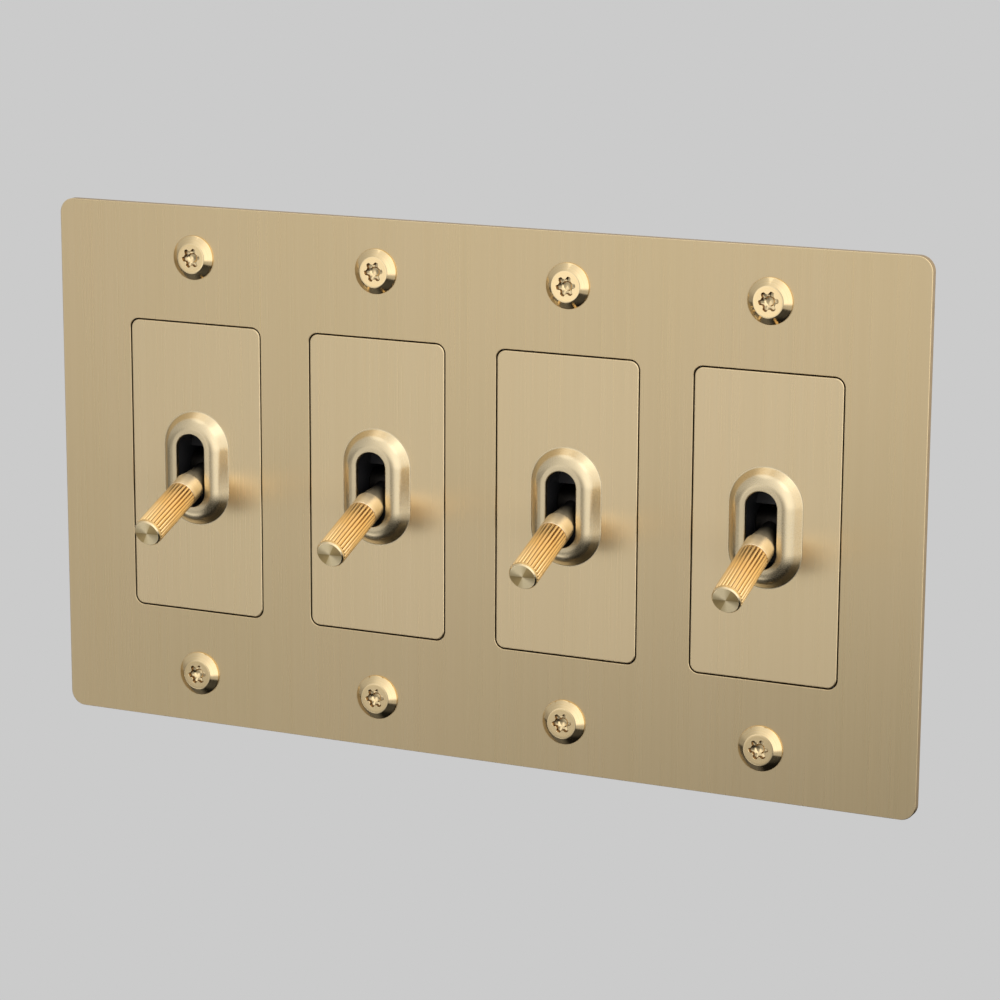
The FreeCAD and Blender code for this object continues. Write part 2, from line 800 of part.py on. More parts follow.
def make_common_terminal(gang):
    """The strip behind the rocker, with two ears that carry it and a screw tab on the left."""
    name = f"common_terminal_{gang}"
    ear_out = d.rocker_width / 2 + d.ear_thick / 2 + d.ear_thick
    ear_in = ear_out - d.ear_thick
    half = d.strip_height / 2
    pieces = [block(name + "_strip", (-tab_reach, d.strip_front, -half), (ear_out, strip_back, half))]
    for hand, left, right in (("left", -ear_out, -ear_in), ("right", ear_in, ear_out)):
        pieces.append(block(f"{name}_{hand}_ear", (left, d.ear_front, -d.ear_width / 2),
                            (right, strip_back, d.ear_width / 2)))
    pieces.append(block(name + "_tab", (-tab_reach, d.tab_front, -d.tab_height / 2),
                        (d.tab_thick - tab_reach, strip_back, d.tab_height / 2)))
    bearing = cylinder(name + "_bearing", d.trunnion_radius + d.pin_clearance, ear_out * 2 + 1,
                       (-ear_out - 0.5, d.rocker_depth, 0), V(1, 0, 0))
    screw_hole = cylinder(name + "_hole", d.thread_radius, d.tab_thick + 2,
                          (-tab_reach - 1, d.tab_screw_depth, 0), V(1, 0, 0))
    drilled = less(name, fused(name + "_blank", pieces), fused(name + "_holes", [bearing, screw_hole]))
    return keep(drilled, name, shifted(gang_x(gang)))


def make_switched_terminal(gang):
    """The strip with the fixed contact, and its screw tab on the right."""
    name = f"switched_terminal_{gang}"
    half = d.strip_height / 2
    rise = -d.contact_rise
    left = -d.contact_radius * 2
    pieces = [block(name + "_strip", (left, d.strip_front, rise - half), (tab_reach, strip_back, rise + half))]
    pieces.append(block(name + "_tab", (tab_reach - d.tab_thick, d.tab_front, rise - d.tab_height / 2),
                        (tab_reach, strip_back, rise + d.tab_height / 2)))
    pieces.append(cylinder(name + "_contact", d.contact_radius, d.strip_front - d.fixed_contact_front + 0.1,
                           (0, d.fixed_contact_front, rise), V(0, 1, 0)))
    screw_hole = cylinder(name + "_hole", d.thread_radius, d.tab_thick + 2,
                          (tab_reach - d.tab_thick - 1, d.tab_screw_depth, rise), V(1, 0, 0))
    drilled = less(name, fused(name + "_blank", pieces), screw_hole)
    return keep(drilled, name, shifted(gang_x(gang)))


# ---------------------------------------------------------------- fasteners


def screw_master(name, head_radius, head_top, band, rise, shank, length):
    """A screw along +Z with the underside of its head at Z = 0."""
    body = new_body(name)
    spin(body, [
        (ZERO, -length),
        (shank, -length),
        (shank, ZERO),
        (head_radius, ZERO),
        (head_radius, band),
        (head_top, rise),
        (ZERO, rise),
    ])
    return body


def cut_driver_slot(body, rise, reach):
    """A straight driver slot across a head."""
    sketch = new_sketch(body, "XY_Plane", rise)
    half = d.driver_slot_width / 2
    box(sketch, -reach, reach, -half, half)
    extrude(body, "PartDesign::Pocket", sketch, d.driver_slot_depth)


def make_plate_screws():
    """Button-headed screws with a six-lobe recess, each turned a little the same way."""
    body = screw_master("plate_screw", d.plate_head_radius, d.plate_head_top, d.plate_head_band,
                        d.plate_head_rise, d.shank_radius, d.plate_screw_length)
    core = new_sketch(body, "XY_Plane", d.plate_head_rise)
    disc(core, d.recess_radius)
    extrude(body, "PartDesign::Pocket", core, d.recess_depth)
    lobe_sketch = new_sketch(body, "XY_Plane", d.plate_head_rise)
    disc(lobe_sketch, d.lobe_radius, 0, d.lobe_circle)
    lobe = extrude(body, "PartDesign::Pocket", lobe_sketch, d.recess_depth)
    lobes = body.newObject("PartDesign::PolarPattern", "recess_lobes")
    lobes.Originals = [lobe]
    lobes.Axis = (core, ["N_Axis"])
    lobes.Angle = 360
    lobes.Occurrences = 6
    body.Tip = lobes
    doc.recompute()
    facing = FreeCAD.Rotation(V(1, 0, 0), 90)
    turned = facing.multiply(FreeCAD.Rotation(V(0, 0, 1), d.recess_turn.value))
    spots = [FreeCAD.Placement(V(x.value, plate_front.value, d.plate_screw_rise.value * side), turned)
             for x in gang_offsets for side in (1, -1)]
    return group("plate_screws", body, spots)


def make_box_screws():
    """Countersunk captive screws that hold each strap to the wall box, flush with the strap."""
    body = new_body("box_screw")
    step = d.shank_radius - d.box_neck_radius
    spin(body, [
        (ZERO, -d.box_screw_length),
        (d.shank_radius, -d.box_screw_length),
        (d.shank_radius, -d.box_thread_start - step),
        (d.box_neck_radius, -d.box_thread_start),
        (d.box_neck_radius, -d.box_head_depth),
        (d.box_head_radius, ZERO),
        (ZERO, ZERO),
    ])
    cut_driver_slot(body, ZERO, d.box_head_radius + 1)
    facing = FreeCAD.Rotation(V(1, 0, 0), 90)
    spots = [FreeCAD.Placement(V(x.value, d.yoke_front.value, d.box_screw_rise.value * side), facing)
             for x in gang_offsets for side in (1, -1)]
    return group("box_screws", body, spots)


def make_panel_screws():
    """The screws that hold each metal panel to its strap, from behind."""
    body = screw_master("panel_screw", d.panel_head_radius, d.panel_head_radius, d.panel_head_rise / 2,
                        d.panel_head_rise, d.panel_shank_radius, d.panel_screw_length)
    facing = FreeCAD.Rotation(V(1, 0, 0), -90)
    spots = [FreeCAD.Placement(V(x.value, yoke_back.value, d.panel_screw_rise.value * side), facing)
             for x in gang_offsets for side in (1, -1)]
    return group("panel_screws", body, spots)


def binding_screw(name):
    body = screw_master(name, d.terminal_head_radius, d.terminal_head_radius - d.terminal_head_rise / 3,
                        d.terminal_head_rise / 2, d.terminal_head_rise, d.shank_radius,
                        d.terminal_screw_length)
    cut_driver_slot(body, d.terminal_head_rise, d.terminal_head_radius + 1)
    return body


def make_terminal_screws():
    """Two binding-head screws on each switch, one on either side."""
    body = binding_screw("terminal_screw")
    leftward = FreeCAD.Rotation(V(0, 1, 0), -90)
    rightward = FreeCAD.Rotation(V(0, 1, 0), 90)
    spots = []
    for x in gang_offsets:
        left = V((x - tab_reach).value, d.tab_screw_depth.value, 0)
        right = V((x + tab_reach).value, d.tab_screw_depth.value, -d.contact_rise.value)
        spots.append(FreeCAD.Placement(left, leftward))
        spots.append(FreeCAD.Placement(right, rightward))
    return group("terminal_screws", body, spots)


def make_ground_screws():
    """The earth screw on each strap's lug."""
    body = binding_screw("ground_screw")
    leftward = FreeCAD.Rotation(V(0, 1, 0), -90)
    spots = [FreeCAD.Placement(V((x - d.yoke_tab_width / 2).value, d.lug_screw_depth.value,
                                 -d.lug_screw_rise.value), leftward) for x in gang_offsets]
    return group("ground_screws", body, spots)


def make_body_rivets():
    """Rivets through the strap and both mouldings."""
    body = new_body("body_rivet")
    length = d.body_back - d.yoke_front
    head = d.rivet_head_thick
    spin(body, [
        (ZERO, -length - head),
        (d.rivet_head_radius, -length - head),
        (d.rivet_head_radius, -length),
        (d.rivet_radius, -length),
        (d.rivet_radius, ZERO),
        (d.rivet_head_radius, ZERO),
        (d.rivet_head_radius, head),
        (ZERO, head),
    ])
    facing = FreeCAD.Rotation(V(1, 0, 0), 90)
    spots = [FreeCAD.Placement(V((x + d.rivet_x * hand).value, d.yoke_front.value,
                                 d.rivet_rise.value * side), facing)
             for x in gang_offsets for side in (1, -1) for hand in (1, -1)]
    return group("body_rivets", body, spots)


# ---------------------------------------------------------------- the whole switch


make_front_plate()
for gang in GANGS:
    make_insert_panel(gang)
    make_yoke(gang)
    make_front_frame(gang)
    make_back_body(gang)
    make_toggle_stem(gang)
    make_toggle_grip(gang)
    make_toggle_cap(gang)
    make_pivot_pin(gang)
    make_plunger(gang)
    make_plunger_spring(gang)
    make_contact_rocker(gang)
    make_common_terminal(gang)
    make_switched_terminal(gang)
make_plate_screws()
make_box_screws()
make_panel_screws()
make_terminal_screws()
make_ground_screws()
make_body_rivets()
doc.recompute()

failed = [thing.Name for thing in doc.Objects if {"Invalid", "Error"} & set(thing.State)]
failed += [node.Label for node in nodes if node.Shape.isNull() or not node.Shape.isValid()]
if failed:
    raise ValueError(f"These did not build: {failed}")

os.makedirs("parts", exist_ok=True)
for node in nodes:
    node.Shape.exportStep(f"parts/{node.Label}.step")
    print(f"{node.Label}: {len(node.Shape.Solids)} solids, {node.Shape.Volume:.1f} mm3")
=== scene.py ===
import json
import math

import bmesh
import bpy
from mathutils import Matrix, Vector


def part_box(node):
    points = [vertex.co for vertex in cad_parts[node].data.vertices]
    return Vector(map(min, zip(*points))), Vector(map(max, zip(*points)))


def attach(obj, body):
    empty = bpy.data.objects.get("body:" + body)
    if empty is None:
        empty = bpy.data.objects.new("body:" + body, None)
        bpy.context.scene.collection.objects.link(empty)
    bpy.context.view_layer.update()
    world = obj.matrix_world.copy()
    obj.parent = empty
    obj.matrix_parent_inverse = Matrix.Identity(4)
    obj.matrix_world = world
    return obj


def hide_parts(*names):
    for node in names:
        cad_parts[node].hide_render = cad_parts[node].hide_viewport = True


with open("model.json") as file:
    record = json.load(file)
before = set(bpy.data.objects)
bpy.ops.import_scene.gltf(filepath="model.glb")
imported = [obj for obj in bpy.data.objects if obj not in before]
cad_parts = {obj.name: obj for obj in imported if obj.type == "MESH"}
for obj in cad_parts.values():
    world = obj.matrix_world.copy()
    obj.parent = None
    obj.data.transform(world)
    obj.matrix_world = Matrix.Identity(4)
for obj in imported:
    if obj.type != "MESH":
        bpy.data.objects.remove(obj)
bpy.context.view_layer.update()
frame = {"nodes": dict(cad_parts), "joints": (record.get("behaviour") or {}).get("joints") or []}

# A brass four-gang toggle switch. Lengths are in metres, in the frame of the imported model:
# the wall is at Y = 0, the front looks towards -Y and +Z is up.

MM = 0.001
GANGS = (1, 2, 3, 4)


# ---------------------------------------------------------------- sizes from the frame


def node_size(node):
    low, high = (Vector(corner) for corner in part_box(node))
    return low, high, high - low, (low + high) / 2


plate_low, plate_high, plate_size, plate_mid = node_size("front_plate")
panel_low, panel_high, panel_size, _ = node_size("insert_panel_1")
FRONT = plate_low.y
BOSS_FRONT = panel_low.y
TRAY_BACK = panel_high.y
gang_x = [node_size(f"insert_panel_{gang}")[3].x for gang in GANGS]
toggle_joint = {j["name"]: j for j in frame["joints"]}["toggle_1_swing"]
PIVOT_Y = toggle_joint["pos_m"][1]
THROW_HALF = math.radians(toggle_joint["range_deg"][1] / 2)

PLATE_CORNER = 3.4 * MM
PLATE_EDGE = 0.14 * MM
WINDOW_GAP = 0.3 * MM
WINDOW_CORNER = 2.3 * MM
PANEL_CORNER = 2.0 * MM
PANEL_EDGE = 0.14 * MM
PANEL_RIM = 2.0 * MM
FLANGE = 0.3 * MM
SUPPORT = 0.12 * MM
BOSS_WIDTH = 16.7 * MM
BOSS_LAND = 0.9 * MM
BOSS_FOOT = 0.25 * MM
BOSS_SLOPE = math.radians(56)
BOSS_LIP = 1.1 * MM
SLOT_WIDTH = 7.2 * MM
SLOT_HEIGHT = 16.9 * MM
SLOT_EDGE = 0.12 * MM
POCKET_STEP = 1.2 * MM
SCREW_RISE = 48.42 * MM
SCREW_HOLE = 2.1 * MM
HEAD_RADIUS = 5.05 * MM
HEAD_TOP = 3.45 * MM
HEAD_RISE = 1.4 * MM
HEAD_BAND = 0.35 * MM
RECESS_TURN = math.radians(8)
RIDGES = 24
RIDGE_OUT = 3.3 * MM
RIDGE_DEPTH = 0.28 * MM
GRIP_START = 14.0 * MM
GRIP_END = 29.6 * MM
CAP_RADIUS = 3.2 * MM
CAP_THICK = 0.9 * MM
COLLAR_RADIUS = 3.35 * MM
COLLAR_START = 9.6 * MM
NECK_FRONT = 3.1 * MM
NECK_BACK = 1.8 * MM
HUB_RADIUS = 3.2 * MM
HUB_HALF = 3.5 * MM
TAIL_RADIUS = 2.2 * MM
TAIL_END = 8.6 * MM
BORE_RADIUS = 1.26 * MM
THREAD_PITCH = 0.79 * MM
THREAD_DEPTH = 0.22 * MM
SHANK_RADIUS = 1.7 * MM
SHANK_LENGTH = 12.0 * MM

# Points along the straight and round parts of a quarter of an outline, and round a hole.
SIDE_STEPS = 10
ARC_STEPS = 14
TOP_STEPS = 10
CORNER_STEPS = 5
HOLE_STEPS = 48

# A plate face whose normal has less depth than this is the wall of an edge or an opening.
STEEP = 0.3
NECK_CURVE = 1.7
GROOVE_CURVE = 1.6

# The screw recess: a wave of six lobes, flattened at its crests, with its radius in millimetres.
RECESS_LOBES = 6
RECESS_FLATNESS = 2.0
RECESS_MEAN = 1.93
RECESS_SWING = 0.31


# ---------------------------------------------------------------- mesh helpers


def finish_mesh(name, mesh, materials, smooth_angle=math.radians(35)):
    """Give a mesh outward normals, smooth shading with sharp edges, and its materials."""
    work = bmesh.new()
    work.from_mesh(mesh)
    bmesh.ops.recalc_face_normals(work, faces=work.faces)
    work.to_mesh(mesh)
    work.free()
    mesh.shade_smooth()
    mesh.set_sharp_from_angle(angle=smooth_angle)
    for material in materials:
        mesh.materials.append(material)
    piece = bpy.data.objects.new(name, mesh)
    bpy.context.scene.collection.objects.link(piece)
    return piece


def skin(loops, closed=False, paint=None):
    """Vertices and faces over rings of equal length; paint numbers each band's material."""
    count = len(loops[0])
    points = [tuple(point) for loop in loops for point in loop]
    bands = len(loops) if closed else len(loops) - 1
    faces = []
    numbers = []
    for band in range(bands):
        near = band * count
        far = (band + 1) % len(loops) * count
        for i in range(count):
            j = (i + 1) % count
            faces.append((near + i, near + j, far + j, far + i))
            numbers.append(paint[band] if paint else 0)
    if not closed:
        last = (len(loops) - 1) * count
        faces.append(tuple(range(count)))
        faces.append(tuple(last + i for i in reversed(range(count))))
        numbers += [0, 0]
    return points, faces, numbers


def build(name, shells, materials, smooth_angle=math.radians(35)):
    """One piece out of several shells from skin()."""
    points = []
    faces = []
    numbers = []
    for shell_points, shell_faces, shell_numbers in shells:
        start = len(points)
        points += shell_points
        faces += [tuple(start + i for i in face) for face in shell_faces]
        numbers += shell_numbers
    mesh = bpy.data.meshes.new(name)
    mesh.from_pydata(points, [], faces)
    mesh.polygons.foreach_set("material_index", numbers)
    return finish_mesh(name, mesh, materials, smooth_angle)


def mirrored(quarter):
    """A closed ring in X and Z out of its first quarter, which runs from +X to +Z."""
    back = list(reversed(quarter))
    ring = quarter[:-1]
    ring += [(-x, z) for x, z in back[:-1]]
    ring += [(-x, -z) for x, z in quarter[:-1]]
    ring += [(x, -z) for x, z in back[:-1]]
    return ring


def arc_points(x, z, radius, steps):
    turns = [math.radians(90) * i / steps for i in range(steps + 1)]
    return [(x + radius * math.cos(turn), z + radius * math.sin(turn)) for turn in turns]


def straight(start, end, steps):
    return [(start[0] + (end[0] - start[0]) * i / steps, start[1] + (end[1] - start[1]) * i / steps)
            for i in range(steps)]


def box_ring(width, height, radius):
    """A rectangle with round corners."""
    reach_x = width / 2 - radius
    reach_z = height / 2 - radius
    quarter = straight((width / 2, 0), (width / 2, reach_z), SIDE_STEPS)
    quarter += arc_points(reach_x, reach_z, radius, ARC_STEPS)
    quarter += straight((reach_x, height / 2), (0, height / 2), TOP_STEPS)[1:]
    quarter.append((0, height / 2))
    return mirrored(quarter)


def stadium_ring(width, height):
    """A slot with round ends, with as many points as box_ring has."""
    radius = width / 2
    reach = height / 2 - radius
    quarter = straight((radius, 0), (radius, reach), SIDE_STEPS)
    quarter += arc_points(0, reach, radius, ARC_STEPS + TOP_STEPS)
    return mirrored(quarter)


def at_depth(ring, x, y):
    return [(x + px, y, pz) for px, pz in ring]


def circle(radius, z, steps=64):
    turns = [math.tau * i / steps for i in range(steps)]
    return [(radius * math.cos(turn), radius * math.sin(turn), z) for turn in turns]


def turned(profile, steps=64):
    """Rings of a turned piece from (radius, height) pairs."""
    return [circle(radius, height, steps) for radius, height in profile]


def soften(profile):
    """A (radius, height) path whose corners are rounded by each point's third number."""
    path = []
    for i, (radius, height, corner) in enumerate(profile):
        point = Vector((radius, height))
        if not corner:
            path.append(tuple(point))
            continue
        before = Vector(profile[i - 1][:2])
        after = Vector(profile[i + 1][:2])
        start = point + (before - point).normalized() * corner
        end = point + (after - point).normalized() * corner
        for step in range(CORNER_STEPS + 1):
            t = step / CORNER_STEPS
            path.append(tuple(start * (1 - t) ** 2 + point * (2 * t * (1 - t)) + end * t ** 2))
    return path


def placed(piece, place, body="housing"):
    """Put a piece, made along its own Z, at its place in the frame and let it ride on a body."""
    piece.matrix_world = place
    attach(piece, body)
    return piece


def facing(x, y, z, turn=0.0):
    """A place whose own +Z looks out of the front."""
    look = Matrix.Rotation(math.radians(90), 4, "X")
    return Matrix.Translation((x, y, z)) @ look @ Matrix.Rotation(turn, 4, "Z")


# ---------------------------------------------------------------- materials


class Nodes:
    """A material's node tree, with short names for the nodes used here."""

    def __init__(self, name):
        self.material = bpy.data.materials.new(name)
        self.material.use_nodes = True
        self.tree = self.material.node_tree
        self.shader = self.tree.nodes["Principled BSDF"]
        self.place = self.node("ShaderNodeTexCoord").outputs["Object"]

    def node(self, kind, links=None, **fields):
        made = self.tree.nodes.new(kind)
        for field, value in fields.items():
            setattr(made, field, value)
        for socket, source in (links or {}).items():
            self.feed(made.inputs[socket], source)
        return made

    def feed(self, socket, source):
        if isinstance(source, bpy.types.NodeSocket):
            self.tree.links.new(source, socket)
        else:
            socket.default_value = source

    def scaled(self, scale):
        made = self.node("ShaderNodeMapping", {"Vector": self.place, "Scale": scale})
        return made.outputs["Vector"]

    def noise(self, scale, detail=3.0, place=None):
        """Noise with its own scale along each axis, in features per metre."""
        vector = place or self.scaled(scale)
        made = self.node("ShaderNodeTexNoise", {"Vector": vector, "Scale": 1.0, "Detail": detail,
                                                "Roughness": NOISE_ROUGHNESS})
        return made.outputs["Fac"]

    def spread(self, value, low, high, bottom=0.3, top=0.7):
        made = self.node("ShaderNodeMapRange", {"Value": value, "From Min": bottom, "From Max": top,
                                                "To Min": low, "To Max": high})
        return made.outputs["Result"]

    def blend(self, factor, first, second):
        made = self.node("ShaderNodeMix", data_type="RGBA")
        self.feed(made.inputs["Factor"], factor)
        self.feed(made.inputs["A"], (*first, 1.0) if isinstance(first, tuple) else first)
        self.feed(made.inputs["B"], (*second, 1.0) if isinstance(second, tuple) else second)
        return made.outputs["Result"]

    def maths(self, operation, *values):
        made = self.node("ShaderNodeMath", operation=operation)
        for socket, value in zip(made.inputs, values):
            self.feed(socket, value)
        return made.outputs["Value"]

    def leaning(self, lean):
        """The surface's normal, tipped upwards."""
        normal = self.node("ShaderNodeNewGeometry").outputs["Normal"]
        tipped = self.node("ShaderNodeVectorMath", {0: normal, 1: (0.0, 0.0, lean)},
                           operation="ADD")
        return self.node("ShaderNodeVectorMath", {0: tipped.outputs["Vector"]},
                         operation="NORMALIZE").outputs["Vector"]

    def bump(self, height, strength, distance, normal=None):
        links = {"Height": height, "Strength": strength, "Distance": distance}
        if normal:
            links["Normal"] = normal
        made = self.node("ShaderNodeBump", links)
        self.feed(self.shader.inputs["Normal"], made.outputs["Normal"])

    def set(self, **sockets):
        names = {"color": "Base Color", "metal": "Metallic", "rough": "Roughness",
                 "stretch": "Anisotropic", "tangent": "Tangent"}
        for short, source in sockets.items():
            self.feed(self.shader.inputs[names[short]], source)

    def object_direction(self, x, y, z):
        """A direction fixed to the piece, for the grain of a brushed face."""
        vector = self.node("ShaderNodeCombineXYZ", {"X": x, "Y": y, "Z": z}).outputs["Vector"]
        turned_with = self.node("ShaderNodeVectorTransform", {"Vector": vector},
                                vector_type="VECTOR", convert_from="OBJECT", convert_to="WORLD")
        return turned_with.outputs["Vector"]

    def in_plane(self):
        """The part of the place that is square to the piece's own Z."""
        flat = self.node("ShaderNodeVectorMath", {0: self.place, 1: (1.0, 1.0, 0.0)},
                         operation="MULTIPLY")
        return flat.outputs["Vector"]

    def outward(self):
        """The direction away from the piece's own Z, across the rings of a turned face."""
        turned_with = self.node("ShaderNodeVectorTransform", {"Vector": self.in_plane()},
                                vector_type="VECTOR", convert_from="OBJECT", convert_to="WORLD")
        return self.node("ShaderNodeVectorMath", {0: turned_with.outputs["Vector"]},
                         operation="NORMALIZE").outputs["Vector"]

    def from_axis(self):
        """Distance from the piece's own Z axis."""
        length = self.node("ShaderNodeVectorMath", {0: self.in_plane()}, operation="LENGTH")
        return length.outputs["Value"]


NOISE_ROUGHNESS = 0.55
BRASS = (0.80, 0.628, 0.362)
BRASS_DEEP = (0.70, 0.535, 0.290)
BRASS_PALE = (0.87, 0.700, 0.430)
BRASS_ROSE = (0.86, 0.660, 0.420)
BRASS_LIGHT = (0.97, 0.800, 0.540)
# The near-black painted shade on a lever's neck, deep in its slot.
NECK_SHADE = (0.05, 0.045, 0.04)
SECTOR = math.radians(60)


def brushed_brass(name, lighter, lean):
    """Satin brass with a fine upright grain; lean tips its reflections up a little."""
    n = Nodes(name)
    fine = n.noise((4200.0, 900.0, 14.0), 2.0)
    streaks = n.noise((760.0, 300.0, 5.0), 2.0)
    clouds = n.noise((28.0, 28.0, 14.0), 2.0)
    grain = n.blend(n.spread(fine, 0.0, 1.0), BRASS_DEEP, BRASS_PALE)
    tone = n.blend(0.86, grain, BRASS)
    tone = n.blend(n.spread(streaks, 0.0, 0.22), tone, BRASS_PALE)
    tone = n.blend(n.spread(clouds, 0.0, 0.22), tone, BRASS_ROSE)
    tone = n.blend(lighter, tone, BRASS_LIGHT)
    n.set(color=tone, metal=1.0, rough=n.spread(fine, 0.27, 0.30), stretch=0.85)
    n.set(tangent=n.object_direction(1.0, 0.0, 0.0))
    n.bump(fine, 0.018, 0.02 * MM, n.leaning(lean))
    return n.material


def satin_brass(name, roughness, warm):
    """Fine bead-blasted brass with no direction."""
    n = Nodes(name)
    speck = n.noise((9000.0, 9000.0, 9000.0), 2.0)
    clouds = n.noise((160.0, 160.0, 160.0), 2.0)
    tone = n.blend(n.spread(clouds, 0.0, 0.4), warm, BRASS_PALE)
    n.set(color=tone, metal=1.0, rough=n.spread(speck, roughness - 0.03, roughness + 0.05))
    n.bump(speck, 0.012, 0.01 * MM)
    return n.material


def turned_brass(name, color, roughness, stretch, face, ring_scale, strength):
    """Brass turned on a lathe: a face looks along Z; a side has painted shade, darker towards the
    inside.
    """
    n = Nodes(name)
    radius = n.maths("MULTIPLY", n.from_axis(), ring_scale)
    along = n.node("ShaderNodeSeparateXYZ", {"Vector": n.place}).outputs["Z"]
    height = n.maths("MULTIPLY", along, ring_scale)
    ring_place = n.node("ShaderNodeCombineXYZ", {"X": radius, "Y": height, "Z": 0.0})
    rings = n.noise((1.0, 1.0, 1.0), 3.0, ring_place.outputs["Vector"])
    tone = n.blend(n.spread(rings, 0.0, 0.8), color, BRASS_PALE)
    # Painted shade: the neck's colour fades to near black towards the inside of the slot, where
    # shade falls.
    if not face:
        inside = n.spread(along, 0.0, 1.0, COLLAR_START - 4.5 * MM, COLLAR_START)
        tone = n.blend(inside, NECK_SHADE, tone)
    n.set(color=tone, metal=1.0, stretch=stretch,
          rough=n.spread(rings, roughness - 0.03, roughness + 0.05))
    n.set(tangent=n.outward() if face else n.object_direction(0.0, 0.0, 1.0))
    n.bump(rings, strength, 0.02 * MM)
    return n.material


def radial_brass(name, bright, middle, dark):
    """A finely turned end face, with a painted sheen: two bright and two dark sectors set in its
    colour.
    """
    n = Nodes(name)
    rings = n.noise((1.0, 1.0, 1.0), 3.0, n.node("ShaderNodeCombineXYZ", {
        "X": n.maths("MULTIPLY", n.from_axis(), 5200.0), "Y": 0.0, "Z": 0.0}).outputs["Vector"])
    parts = n.node("ShaderNodeSeparateXYZ", {"Vector": n.place})
    aside, up = parts.outputs["X"], parts.outputs["Y"]
    slanted = n.maths("SUBTRACT", n.maths("MULTIPLY", aside, math.sin(SECTOR)),
                      n.maths("MULTIPLY", up, math.cos(SECTOR)))
    square = n.maths("MAXIMUM", n.maths("POWER", n.from_axis(), 2.0), 1e-9)
    sector = n.maths("DIVIDE", n.maths("MULTIPLY", up, slanted), square)
    # Painted highlight and reflection: middle to bright in two sectors, dark in the other two.
    light = n.blend(n.spread(sector, 1.0, 0.0, -0.55, -0.03), middle, bright)
    tone = n.blend(n.spread(sector, 0.0, 1.0, -0.025, 0.025), light, dark)
    n.set(color=n.blend(n.spread(rings, 0.0, 0.25), tone, BRASS), metal=1.0, stretch=0.9)
    n.set(rough=n.spread(rings, 0.36, 0.42), tangent=n.outward())
    n.bump(rings, 0.02, 0.02 * MM)
    return n.material


def grooved_brass(name, ridge, groove):
    """Polished brass with painted shade, darker towards the bottoms of the grooves round its own Z.
    """
    n = Nodes(name)
    # Painted shade: the colour turns to the groove colour near the bottoms of the grooves.
    depth = n.spread(n.from_axis(), 0.0, 1.0,
                     RIDGE_OUT - RIDGE_DEPTH, RIDGE_OUT - 0.35 * RIDGE_DEPTH)
    clouds = n.noise((240.0, 240.0, 240.0), 2.0)
    tone = n.blend(depth, groove, n.blend(n.spread(clouds, 0.0, 0.3), ridge, BRASS_LIGHT))
    n.set(color=tone, metal=1.0, rough=n.spread(clouds, 0.30, 0.36))
    n.bump(n.noise((5000.0, 5000.0, 900.0), 2.0), 0.04, 0.01 * MM)
    return n.material


def polished_metal(name, color, roughness, wear):
    """Plated or polished metal with a little unevenness and fine scratches."""
    n = Nodes(name)
    clouds = n.noise((350.0, 350.0, 350.0), 3.0)
    scratch = n.noise((2600.0, 700.0, 400.0), 4.0)
    tone = n.blend(n.spread(clouds, 0.0, 0.35), color, wear)
    n.set(color=tone, metal=1.0, rough=n.spread(scratch, roughness - 0.05, roughness + 0.09))
    n.bump(scratch, 0.08, 0.02 * MM)
    return n.material


def threaded_zinc(name, color, start):
    """Plated steel with thread grooves round the depth axis, from start inwards."""
    n = Nodes(name)
    clouds = n.noise((350.0, 350.0, 350.0), 3.0)
    along = n.node("ShaderNodeSeparateXYZ", {"Vector": n.place}).outputs["Y"]
    crest = n.maths("PINGPONG", along, THREAD_PITCH / 2)
    cut = n.spread(along, 0.0, 1.0, start, start + THREAD_PITCH)
    n.set(color=n.blend(n.spread(clouds, 0.0, 0.4), color, (0.40, 0.40, 0.43)), metal=1.0)
    n.set(rough=n.spread(clouds, 0.26, 0.36))
    n.bump(n.maths("MULTIPLY", crest, cut), 0.8, 1.0)
    return n.material


def moulding(name, color, roughness):
    """Moulded plastic with a fine spark-eroded grain."""
    n = Nodes(name)
    grain = n.noise((2200.0, 2200.0, 2200.0), 4.0)
    clouds = n.noise((120.0, 120.0, 120.0), 2.0)
    lighter = tuple(min(1.0, part * 1.5 + 0.01) for part in color)
    n.set(color=n.blend(n.spread(clouds, 0.0, 0.6), color, lighter), metal=0.0)
    n.set(rough=n.spread(grain, roughness - 0.07, roughness + 0.10))
    n.bump(grain, 0.18, 0.04 * MM)
    return n.material


def rolled_strip(name, color):
    """Rolled sheet brass, with grain along its length."""
    n = Nodes(name)
    grain = n.noise((260.0, 2600.0, 2600.0), 4.0)
    stain = n.noise((300.0, 300.0, 300.0), 3.0)
    tone = n.blend(n.spread(grain, 0.0, 1.0), color, BRASS_PALE)
    tone = n.blend(n.spread(stain, 0.0, 0.4), tone, (0.45, 0.27, 0.13))
    n.set(color=tone, metal=1.0, rough=n.spread(grain, 0.24, 0.40))
    n.bump(grain, 0.12, 0.02 * MM)
    return n.material


brushed = brushed_brass("brushed_brass", 0.0, 0.0)
panel_brass = brushed_brass("panel_brass", 0.15, 0.024)
# Painted shade: a dark brown for the walls round the panels and the pockets behind the slots, which
# lie in shade.
wall_shade = polished_metal("painted_shade_wall", (0.20, 0.14, 0.075), 0.5, (0.10, 0.07, 0.04))
# Painted shade: a darker brass for the plate's outer side walls.
outer_edge_shade = polished_metal("outer_edge_shade", (0.36, 0.25, 0.12), 0.4, (0.28, 0.19, 0.09))
satin = satin_brass("satin_brass", 0.26, (0.74, 0.615, 0.40))
